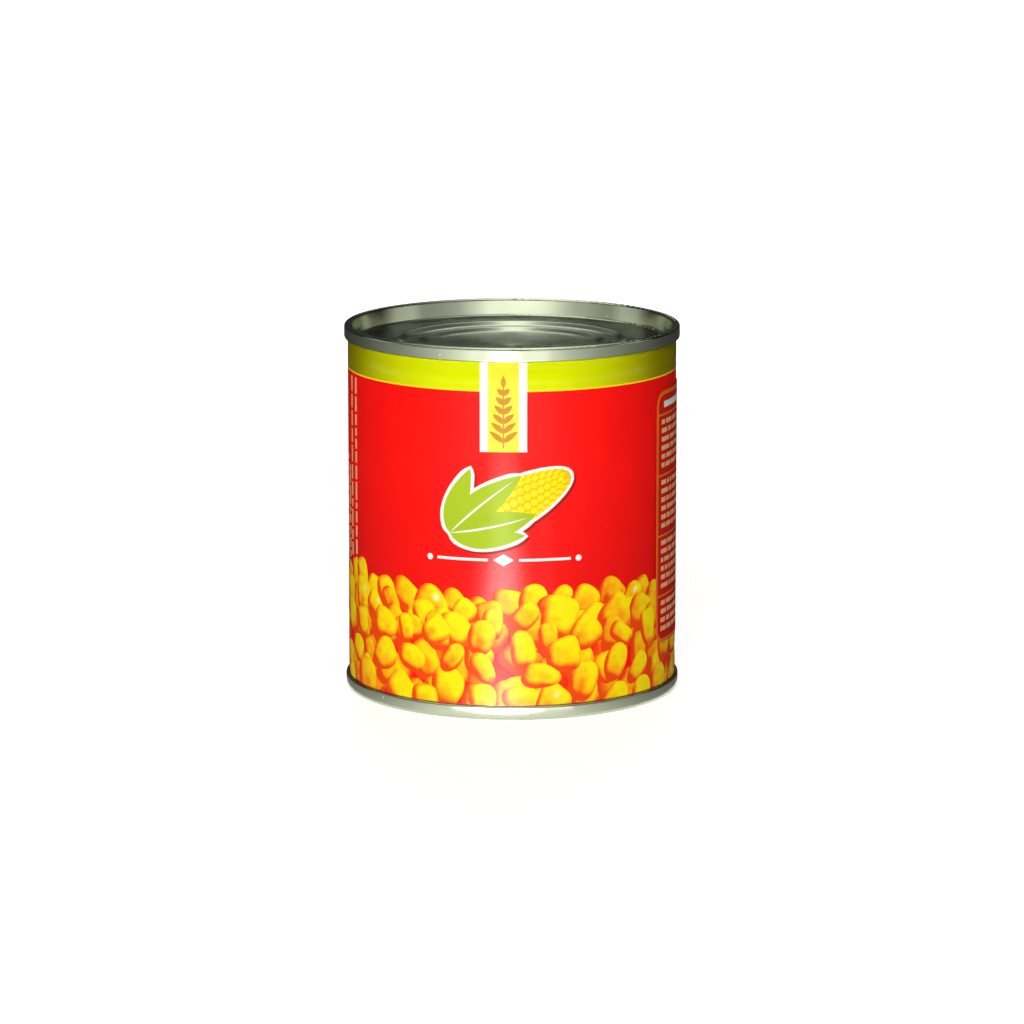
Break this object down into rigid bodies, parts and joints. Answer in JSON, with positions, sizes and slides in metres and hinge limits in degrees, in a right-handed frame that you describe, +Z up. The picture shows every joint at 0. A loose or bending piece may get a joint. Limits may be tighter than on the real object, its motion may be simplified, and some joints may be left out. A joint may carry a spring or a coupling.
{
  "type": "sweet corn can",
  "caption": "Shut round food can: filled tinplate body, a formed end double-seamed onto each mouth, and a printed paper label round the wall.",
  "frame": {"origin": "middle of the base, at the lowest point of the bottom seam", "axes": "+Z up the can's axis to the lid, -Y towards the front of the label, +X to its right"},
  "size_m": [0.0752, 0.0752, 0.0825],
  "materials": {
    "body_tinplate": "satin",
    "end_tinplate": "gloss",
    "label_paper": "satin"
  },
  "bodies": {
    "root": {"can_body": "body_tinplate", "top_end": "end_tinplate", "bottom_end": "end_tinplate", "label": "label_paper"}
  },
  "joints": []
}
